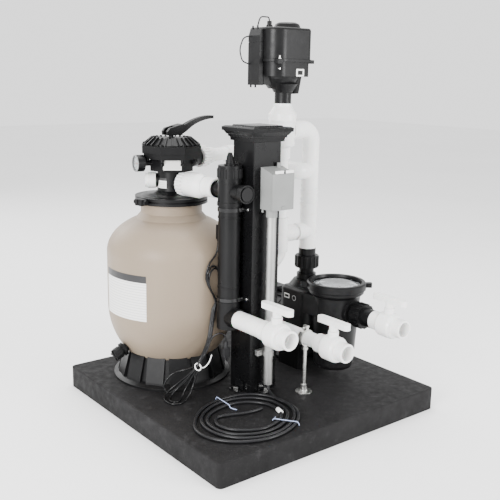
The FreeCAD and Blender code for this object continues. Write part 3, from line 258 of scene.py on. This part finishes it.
def clear_material():
    """Clear lid: tinted, slightly scratched polycarbonate."""
    s = Shader("clear_lid_look")
    s.set(Base_Color=(0.80, 0.83, 0.85, 1), Transmission_Weight=0.92, IOR=1.49, Metallic=0.0)
    s.rough(s.span(s.noise(50, 8, 0.7), 0.03, 0.16, 0.4, 0.8))
    s.bumps([(s.noise(28, 3), 0.08, 0.0005)])
    return s.material


def label_material(name, panel, ink, rows, z_low, z_high, header=0.0):
    """Printed plate: plain panel, optional dark header and a few plain ruled rows."""
    s = Shader(name)
    split = s.nodes.new("ShaderNodeSeparateXYZ")
    s.links.new(s.place, split.inputs["Vector"])
    height = s.span(split.outputs["Z"], 0, 1, z_low, z_high)
    wave = s.nodes.new("ShaderNodeMath")
    wave.operation = "MULTIPLY"
    wave.inputs[1].default_value = rows
    s.links.new(height, wave.inputs[0])
    part = s.nodes.new("ShaderNodeMath")
    part.operation = "FRACT"
    s.links.new(wave.outputs[0], part.inputs[0])
    off, on = (0, 0, 0), (1, 1, 1)
    lines = s.ramp(part.outputs[0], [(0.0, off), (0.62, off), (0.66, on), (0.90, on), (0.94, off)])
    soft = s.mix(lines, panel, shade(panel, 0.72))
    if header:
        band = s.ramp(height, [(0, off), (1 - header - 0.01, off), (1 - header, on)])
        soft = s.mix(band, soft, ink)
    s.colour(soft)
    s.rough(s.span(s.noise(60, 4), 0.28, 0.42, 0.3, 0.7))
    s.bumps([(s.noise(200, 3), 0.05, 0.0002)])
    return s.material


def finishes():
    """One look for each material slot of the record."""
    return {
        "pad_plastic": pad_material(),
        "tank_shell": tank_material(),
        "black_plastic": moulded("black_plastic_look", (0.0040, 0.0040, 0.0043), 0.34, 0.25, specular=0.16),
        "black_matte": moulded("black_matte_look", (0.0055, 0.0055, 0.0058), 0.36, 0.22, 500, 0.00025,
                               dust=(0.012, 0.012, 0.0125), specular=0.16),
        "post_vinyl": moulded("post_vinyl_look", (0.0035, 0.0035, 0.0038), 0.28, 0.25, 300, 0.0002, 0.003,
                              specular=0.16),
        "white_pvc": pvc_material(),
        "box_grey": box_material(),
        "conduit_steel": metal("conduit_steel_look", (0.40, 0.40, 0.39), 0.46, 60, (1, 1, 0.12)),
        "zinc_steel": metal("zinc_steel_look", (0.62, 0.62, 0.60), 0.32, 150),
        "black_steel": moulded("black_steel_look", (0.005, 0.005, 0.0055), 0.18, 0.2, 400, 0.0002, 0.0006,
                               specular=0.35),
        "clear_lid": clear_material(),
        "basket_plastic": moulded("basket_plastic_look", (0.42, 0.44, 0.46), 0.45, 0.08),
        "cell_plates": metal("cell_plates_look", (0.13, 0.13, 0.14), 0.5, 200),
        "needle_red": moulded("needle_red_look", (0.45, 0.03, 0.02), 0.35, 0.08),
        "rotor_steel": metal("rotor_steel_look", (0.45, 0.45, 0.45), 0.35, 120, (1, 8, 1)),
        "switch_black": moulded("switch_black_look", (0.012, 0.012, 0.012), 0.28, 0.2),
        "cable_rubber": rubber("cable_rubber_look", (0.0085, 0.0085, 0.0095), 0.36),
    }


def trim_finishes():
    """Looks of the small trim, beside those of the slots."""
    return {
        "tie_pale": moulded("tie_pale_look", (0.34, 0.40, 0.60), 0.35, 0.1),
        "tag_white": moulded("tag_white_look", (0.84, 0.84, 0.82), 0.45, 0.05),
        "dial_white": moulded("dial_white_look", (0.80, 0.80, 0.77), 0.4, 0.04),
        "ink": moulded("ink_look", (0.02, 0.02, 0.02), 0.5, 0.1),
        "bezel": moulded("bezel_look", (0.16, 0.16, 0.16), 0.22, 0.1),
        "badge_grey": moulded("badge_grey_look", (0.42, 0.42, 0.42), 0.35, 0.08),
        "zinc_bright": metal("zinc_bright_look", (0.78, 0.78, 0.76), 0.24, 150),
        "thin_cord": rubber("thin_cord_look", (0.005, 0.005, 0.0055), 0.22),
    }


def dress_nodes(looks):
    """Give every CAD node its finish."""
    slots = {s["node"]: s["material_slot"] for s in frame["record"]["subparts"]}
    for name, node in frame["nodes"].items():
        node.data.materials.clear()
        node.data.materials.append(looks[slots[name]])


# ---------------------------------------------------------------------------- geometry -------
def add_object(name, data, material, body="skid"):
    data.materials.append(material)
    piece = bpy.data.objects.new(name, data)
    bpy.context.scene.collection.objects.link(piece)
    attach(piece, body)
    return piece


def add_mesh(name, mesh, material, body="skid"):
    """Turn a finished bmesh into a piece with its faces turned outward."""
    bmesh.ops.recalc_face_normals(mesh, faces=mesh.faces)
    data = bpy.data.meshes.new(name)
    mesh.to_mesh(data)
    mesh.free()
    return add_object(name, data, material, body)


def spline_curve(name, points, radius):
    """Bevelled NURBS curve through given control points, in metres."""
    curve = bpy.data.curves.new(name, "CURVE")
    curve.dimensions = "3D"
    curve.bevel_depth = radius
    curve.bevel_resolution = 5
    curve.resolution_u = 8
    curve.use_fill_caps = True
    spline = curve.splines.new("NURBS")
    spline.points.add(len(points) - 1)
    for point, place in zip(spline.points, points):
        point.co = (*place, 1)
    spline.order_u = 3
    spline.use_endpoint_u = True
    return curve


def curve_length(curve):
    """Length of a curve's own centreline."""
    bare = curve.copy()
    bare.bevel_depth = 0
    holder = bpy.data.objects.new("measure", bare)
    bpy.context.scene.collection.objects.link(holder)
    mesh = bpy.data.meshes.new_from_object(holder.evaluated_get(bpy.context.evaluated_depsgraph_get()))
    spots = mesh.vertices
    length = sum((spots[e.vertices[0]].co - spots[e.vertices[1]].co).length for e in mesh.edges)
    bpy.data.objects.remove(holder)
    bpy.data.curves.remove(bare)
    return length


# ------------------------------------------------------------------------------- cords -------
COIL_CENTRE = (-222, -264)
COIL_TILT = math.radians(14)
COIL_FLATTEN = 0.82
STEPS_PER_TURN = 16
# How far the cable lies from the coil's centre, at each part of a turn from the conduit's side.
COIL_REACH = [(0.04, 180), (0.16, 198), (0.28, 199), (0.42, 184), (0.49, 184), (0.55, 181), (0.64, 168),
              (0.78, 178), (0.90, 189), (1.01, 177), (1.17, 181), (1.27, 183), (1.35, 167), (1.48, 147),
              (1.55, 146), (1.64, 150), (1.79, 157), (1.91, 155), (2.05, 149), (2.15, 158), (2.27, 154),
              (2.37, 138), (2.52, 126), (2.63, 131), (2.77, 120), (2.92, 118), (3.04, 122), (3.16, 136),
              (3.27, 126), (3.40, 103), (3.51, 103), (3.60, 106)]


COIL_START = 0.06
COIL_Z = 82.0


def ellipse_place(turn, reach, z):
    """Point at a bearing and distance from the coil's centre, on its tilted ellipse."""
    angle = -2 * math.pi * turn
    x, y = reach * math.cos(angle), reach * COIL_FLATTEN * math.sin(angle)
    return (COIL_CENTRE[0] + x * math.cos(COIL_TILT) - y * math.sin(COIL_TILT),
            COIL_CENTRE[1] + x * math.sin(COIL_TILT) + y * math.cos(COIL_TILT), z)


def coil_place(turn):
    """Point of the coil after so many turns, clockwise seen from above."""
    reach = COIL_REACH[0][1]
    for (t0, r0), (t1, r1) in zip(COIL_REACH, COIL_REACH[1:]):
        if t0 <= turn <= t1:
            k = (turn - t0) / (t1 - t0)
            k = k * k * (3 - 2 * k)
            reach = r0 + (r1 - r0) * k
    return ellipse_place(turn, reach, COIL_Z)


def coil_points():
    """Loose flat turns on the pad, each mostly inside the one before."""
    count = int((COIL_REACH[-1][0] - COIL_START) * STEPS_PER_TURN)
    return [coil_place(COIL_START + i / STEPS_PER_TURN) for i in range(count + 1)]


# The thin cord's hank hangs between tank and vessel: up, over its top loop, down and out over the pad.
HANK_RISE = [(-226, -46, 212), (-203, -40, 243), (-188, -32, 274), (-177, -25, 306), (-169, -21.5, 340),
             (-161, -20, 372)]
HANK_LOOP = [(-150, -17.5, 402), (-147, -17, 440), (-148, -17, 480), (-157, -17.5, 508), (-176, -18.5, 517),
             (-192, -18.5, 503), (-198, -18.5, 475), (-190, -19, 446), (-175, -19.5, 420), (-161, -20, 394)]
HANK_FALL = [(-163, -20.5, 366), (-170, -22, 338), (-178, -26, 305), (-189, -33, 272), (-205, -41, 242),
             (-229, -47, 210)]
HANK_FANS = [
    [(-250, -44, 186), (-258, -12, 166), (-276, 8, 158), (-300, 22, 150), (-320, 32, 126), (-328, 36, 98),
     (-318, 22, 82), (-300, 4, 98), (-276, -20, 136), (-256, -44, 170)],
    [(-256, -42, 172), (-284, -2, 126), (-318, 22, 92), (-344, 8, 80), (-354, -20, 79.5), (-352, -50, 79.5),
     (-330, -66, 79.5), (-296, -52, 80), (-262, -36, 102), (-246, -40, 156)],
    [(-254, -44, 172), (-280, -16, 122), (-308, 6, 90), (-330, -4, 80), (-342, -28, 79.5), (-334, -48, 79.5),
     (-312, -42, 79.5), (-288, -20, 88), (-266, -28, 128), (-250, -46, 176)],
]


def shifted(points, dx, dy, dz=0.0):
    return [(x + dx, y + dy, z + dz) for x, y, z in points]


def hank_points():
    """Three turns of the tied hank, each a little inside the one before."""
    points = []
    for i, fan in enumerate(HANK_FANS):
        if i:
            points += shifted(HANK_RISE, 3 * i - 6, 3 - 3 * i) + shifted(HANK_LOOP, 5 * i, -1.5 * i, -9 * i)
        else:
            points += HANK_LOOP[6:]
        points += shifted(HANK_FALL, 4 - 4 * i, 3 * i - 3) + fan
    return points


def make_power_cable(looks):
    points = mm(CABLE_OUT + coil_points() + CABLE_END)
    curve = spline_curve("power_cable_run", points, CABLE_RADIUS * MM)
    length = curve_length(curve)
    cable = add_object("power_cable_run", curve, looks["cable_rubber"])
    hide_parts("power_cable", "power_coil")
    trim = [cable_tag(looks), cable_tie(looks, "cable_tie_back", 0.79, 99, 193, (-205, -205, 78)),
            cable_tie(looks, "cable_tie_front", 0.20, 112, 206, (-140, -318, 78))]


def make_signal_cord(looks):
    points = mm(SIGNAL_OUT + hank_points() + SIGNAL_END)
    curve = spline_curve("signal_cord_run", points, SIGNAL_RADIUS * MM)
    length = curve_length(curve)
    cord = add_object("signal_cord_run", curve, looks["thin_cord"])
    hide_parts("signal_cord", "signal_hank")
    hank_tie(looks)


def cable_tie(looks, name, turn, inner, outer, tail):
    """Pale thin tie looped over the coil's turns, with one tail end on the pad."""
    over = [ellipse_place(turn, outer + (inner - outer) * k / 6, 89.0) for k in range(7)]
    path = [ellipse_place(turn, outer + 3, 78)] + over + [ellipse_place(turn, inner - 6, 79), tail]
    curve = spline_curve(name, mm(path), 0.0014)
    return add_object(name, curve, looks["tie_pale"])


def cable_tag(looks):
    """Small white flag of tape round the innermost turn."""
    a, b = mm([coil_place(3.075), coil_place(3.125)])
    way = (b - a).normalized()
    middle = (a + b) / 2 + Vector((0, 0, 0.0008))
    return rod_piece("cable_tag", middle - way * 0.014, middle + way * 0.014, 0.0072, looks["tag_white"],
                     "white_pvc")


def hank_tie(looks):
    """White twist tie round the hank's waist, with one long tail."""
    waist = Vector((-248, -50, 183)) * MM
    path = []
    for i in range(19):
        a = 2 * math.pi * i / 18 * 1.15
        path.append(waist + Vector((math.cos(a) * 0.011, math.sin(a) * 0.007, math.sin(a) * 0.010)))
    tail = [path[-1] + Vector(p) * MM for p in ((8, -6, -16), (22, -8, -14), (40, -8, 2), (48, -6, 22))]
    curve = spline_curve("hank_tie", path + tail, 0.0019)
    return add_object("hank_tie", curve, looks["tag_white"])


# -------------------------------------------------------------------------------- trim -------
def curved_plate(name, centre, radius, from_deg, to_deg, z_low, z_high, lift, material):
    """Thin plate that lies on an upright cylinder."""
    mesh = bmesh.new()
    columns = []
    steps = 24
    for i in range(steps + 1):
        a = math.radians(from_deg + (to_deg - from_deg) * i / steps)
        out = Vector((math.cos(a), math.sin(a), 0))
        foot = Vector((centre[0] * MM, centre[1] * MM, 0))
        column = []
        for z, r in ((z_low, radius), (z_low, radius + lift), (z_high, radius + lift), (z_high, radius)):
            column.append(mesh.verts.new(foot + out * (r * MM) + Vector((0, 0, z * MM))))
        columns.append(column)
    for a, b in zip(columns, columns[1:]):
        for i in range(4):
            mesh.faces.new((a[i], b[i], b[(i + 1) % 4], a[(i + 1) % 4]))
    mesh.faces.new(columns[0])
    mesh.faces.new(columns[-1][::-1])
    return add_mesh(name, mesh, material)


def plate(name, centre, normal, width, height, thick, material, corner=0.0015):
    """Thin rounded plate on a flat face, upright, facing along a level normal."""
    out = Vector(normal).normalized()
    side = Vector((0, 0, 1)).cross(out).normalized()
    up = out.cross(side)
    mesh = bmesh.new()
    outline = []
    for sx, sy, start in ((1, 1, 0), (-1, 1, 90), (-1, -1, 180), (1, -1, 270)):
        for k in range(5):
            a = math.radians(start + 22.5 * k)
            outline.append((sx * (width / 2 - corner) + corner * math.cos(a),
                            sy * (height / 2 - corner) + corner * math.sin(a)))
    middle = Vector(centre) * MM
    verts = [mesh.verts.new(middle + side * x + up * y) for x, y in outline]
    face = mesh.faces.new(verts)
    lifted = bmesh.ops.extrude_face_region(mesh, geom=[face])
    for v in [g for g in lifted["geom"] if isinstance(g, bmesh.types.BMVert)]:
        v.co += out * thick
    return add_mesh(name, mesh, material)


def rod_piece(name, start, end, radius, material, slot, sides=32, soften=0.0006):
    """Round or many-sided bar between two points in metres, its end edges chamfered."""
    way = (end - start).normalized()
    side = way.orthogonal().normalized()
    other = way.cross(side)
    mesh = bmesh.new()
    rings = []
    for place, r in ((start, radius - soften), (start + way * soften, radius), (end - way * soften, radius),
                     (end, radius - soften)):
        ring = []
        for i in range(sides):
            a = 2 * math.pi * i / sides
            ring.append(mesh.verts.new(place + (side * math.cos(a) + other * math.sin(a)) * r))
        rings.append(ring)
    for low, high in zip(rings, rings[1:]):
        for i in range(sides):
            mesh.faces.new((low[i], low[(i + 1) % sides], high[(i + 1) % sides], high[i]))
    mesh.faces.new(rings[0][::-1])
    mesh.faces.new(rings[-1])
    for face in mesh.faces:
        face.smooth = sides > 8 and len(face.verts) == 4
    return add_mesh(name, mesh, material)


def bar(name, start, end, radius, material, slot, **shape):
    """The same bar with its end points in millimetres."""
    return rod_piece(name, Vector(start) * MM, Vector(end) * MM, radius, material, slot, **shape)


def level(degrees):
    return Vector((math.cos(math.radians(degrees)), math.sin(math.radians(degrees)), 0))


def make_gauge(looks):
    """White dial with plain ticks, clear glass and a rounded bezel on the pressure gauge."""
    way = level(GAUGE_TURN)
    centre = Vector((*FILTER_AXIS, GAUGE_Z)) * MM
    side, up = Vector((0, 0, 1)).cross(way), Vector((0, 0, 1))
    dial, glass = centre + way * GAUGE_REACH["dial"], centre + way * GAUGE_REACH["glass"]
    rod_piece("gauge_dial", dial, centre + way * 0.1233, 0.0247, looks["dial_white"], "white_pvc",
              soften=0.00005)
    for i in range(13):
        a = math.radians(-45 + 270 * i / 12)
        out = side * math.cos(a) + up * math.sin(a)
        long = 0.0045 if i % 3 == 0 else 0.0028
        middle = centre + way * GAUGE_REACH["ticks"] + out * (0.0228 - long / 2)
        rod_piece("gauge_tick_%d" % i, middle - out * long / 2, middle + out * long / 2, 0.0004,
                  looks["ink"], "black_plastic", sides=6, soften=0.0001)
    rod_piece("gauge_glass", glass, centre + way * 0.1286, 0.0249, looks["clear_lid"], "clear_lid",
              soften=0.0001)
    bezel = []
    for i in range(33):
        a = 2 * math.pi * i / 32
        bezel.append(centre + way * GAUGE_REACH["rim"] + (side * math.cos(a) + up * math.sin(a)) * 0.0265)
    add_object("gauge_bezel", spline_curve("gauge_bezel", bezel, 0.0018), looks["bezel"])


def make_labels(looks):
    """Blank plates and panels: tank, multiport valve, pump and blower."""
    white, black = looks["tag_white"], looks["black_matte"]
    tank = label_material("tank_label_look", (0.80, 0.80, 0.78), (0.012, 0.012, 0.013), 17, 0.322, 0.475,
                          0.15)
    curved_plate("tank_label", FILTER_AXIS, TANK_RADIUS, 163.5, 215.5, 322, 475, 0.5, tank)
    head = label_material("valve_label_look", (0.70, 0.69, 0.66), (0.05, 0.05, 0.05), 4, 0.806, 0.832)
    out = level(VALVE_PLATE_TURN)
    front = Vector((*FILTER_AXIS, 0)) + out * VALVE_HEAD_REACH
    plate("valve_label_seat", (front.x, front.y, 819), out, 0.066, 0.038, 0.0034, looks["black_plastic"])
    front = front + out * 3.4
    plate("valve_label", (front.x, front.y, 819), out, 0.061, 0.032, 0.0006, head)
    neck = label_material("neck_label_look", (0.82, 0.82, 0.80), (0.02, 0.02, 0.02), 5, 0.738, 0.772, 0.24)
    curved_plate("neck_label", FILTER_AXIS, VALVE_STEM_RADIUS, 150, 217, 738, 772, 0.5, neck)
    x = PUMP_FACE_X
    plate("pump_label", (x, 4, 343), (-1, 0, 0), 0.027, 0.017, 0.0008, white)
    plate("pump_label_panel", (x - 0.8, 4, 343), (-1, 0, 0), 0.021, 0.009, 0.0003, black)
    bar("pump_badge", (x, -35, 342), (x - 1, -35, 342), 0.0100, looks["badge_grey"], "box_grey",
        soften=0.0002)
    bar("pump_badge_eye", (x - 1, -35, 342), (x - 1.3, -35, 342), 0.0078, black, "black_matte", soften=0.0001)
    x, y, z = BLOWER_LABEL
    plate("blower_label", BLOWER_LABEL, (0, -1, 0), 0.034, 0.024, 0.0008, white)
    plate("blower_label_panel", (x, y - 0.8, z), (0, -1, 0), 0.022, 0.014, 0.0003, black)


def make_fixings(looks):
    """Nuts, screws and the switch box's hinge strip."""
    zinc = looks["zinc_bright"]
    for i in range(4):
        spot = Vector(POST_CENTRE) + level(90 * i) * 73
        bar("foot_nut_%d" % i, (spot.x, spot.y, 80), (spot.x, spot.y, 89), 0.0092, zinc, "zinc_steel",
            sides=6)
    for z in STRAP_HEIGHTS:
        for y in (-48, 45):
            at = Vector((STRAP_FACE[0], STRAP_FACE[1] + y, z)) * MM
            name = "strap_screw_%d_%d" % (z, y)
            rod_piece(name, at, at - Vector((0.0024, 0, 0)), 0.0046, zinc, "zinc_steel")
    bar("blower_screw", (62, -58, 1166), (62, -58, 1179), 0.0028, zinc, "zinc_steel")
    bar("blower_screw_head", (62, -58, 1167.2), (62, -58, 1171), 0.0048, zinc, "zinc_steel", sides=6)
    bar("blower_stud", (66, -46, 1137), (66, -56, 1137), 0.0032, zinc, "zinc_steel")
    plate("hinge_strip", (-18, -187.4, 821), (0, -1, 0), 0.074, 0.009, 0.0030, looks["tag_white"])
    plate("hinge_clip", (-18, -190.4, 821), (0, -1, 0), 0.007, 0.010, 0.0006, looks["black_plastic"],
          corner=0.001)


def main():
    looks = finishes()
    looks.update(trim_finishes())
    make_camera()
    dress_nodes(looks)
    make_power_cable(looks)
    make_signal_cord(looks)
    make_labels(looks)
    make_gauge(looks)
    make_fixings(looks)
    make_studio()


# ------------------------------------------------------------------------------ studio -------
WORLD_STRENGTH = 1.75
FLOOR_HALF = 14.0
LAMP_AIM = (0, 0, 0.55)
# Each lamp's name, place in metres, width in metres and power in watts.
LAMPS = (
    ("key", (-3.3, -1.4, 1.5), 1.5, 210),
    ("front", (1.8, -3.5, 1.4), 1.3, 130),
    ("top", (0.4, 0.6, 3.6), 2.4, 120),
    ("back", (-0.5, 4.0, 2.6), 2.5, 90),
)


def make_studio():
    """Pale floor and soft studio lights."""
    s = Shader("studio_floor")
    s.colour(s.ramp(s.noise(0.6, 3), [(0.3, (0.90, 0.90, 0.90)), (0.7, (0.93, 0.93, 0.93))]))
    s.set(Roughness=0.9)
    mesh = bpy.data.meshes.new("floor")
    corners = [(x * FLOOR_HALF, y * FLOOR_HALF, -0.0005) for x, y in ((-1, -1), (1, -1), (1, 1), (-1, 1))]
    mesh.from_pydata(corners, [], [(0, 1, 2, 3)])
    mesh.materials.append(s.material)
    floor = bpy.data.objects.new("floor", mesh)
    bpy.context.scene.collection.objects.link(floor)
    world = bpy.data.worlds.new("studio")
    bpy.context.scene.world = world
    world.use_nodes = True
    world.node_tree.nodes["Background"].inputs["Color"].default_value = (1.0, 1.0, 1.0, 1)
    world.node_tree.nodes["Background"].inputs["Strength"].default_value = WORLD_STRENGTH
    for name, place, size, power in LAMPS:
        light = bpy.data.lights.new(name, "AREA")
        light.size = size
        light.energy = power
        lamp = bpy.data.objects.new(name, light)
        lamp.location = place
        aim = Vector(LAMP_AIM) - Vector(place)
        lamp.rotation_euler = aim.to_track_quat("-Z", "Y").to_euler()
        bpy.context.scene.collection.objects.link(lamp)


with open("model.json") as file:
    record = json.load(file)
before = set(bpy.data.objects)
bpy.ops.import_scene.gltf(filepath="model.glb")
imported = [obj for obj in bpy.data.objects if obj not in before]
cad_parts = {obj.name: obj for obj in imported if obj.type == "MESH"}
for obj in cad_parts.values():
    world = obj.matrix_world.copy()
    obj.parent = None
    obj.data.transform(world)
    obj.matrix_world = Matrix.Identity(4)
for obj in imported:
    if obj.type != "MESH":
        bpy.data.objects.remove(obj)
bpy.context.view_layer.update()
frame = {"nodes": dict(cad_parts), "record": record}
main()
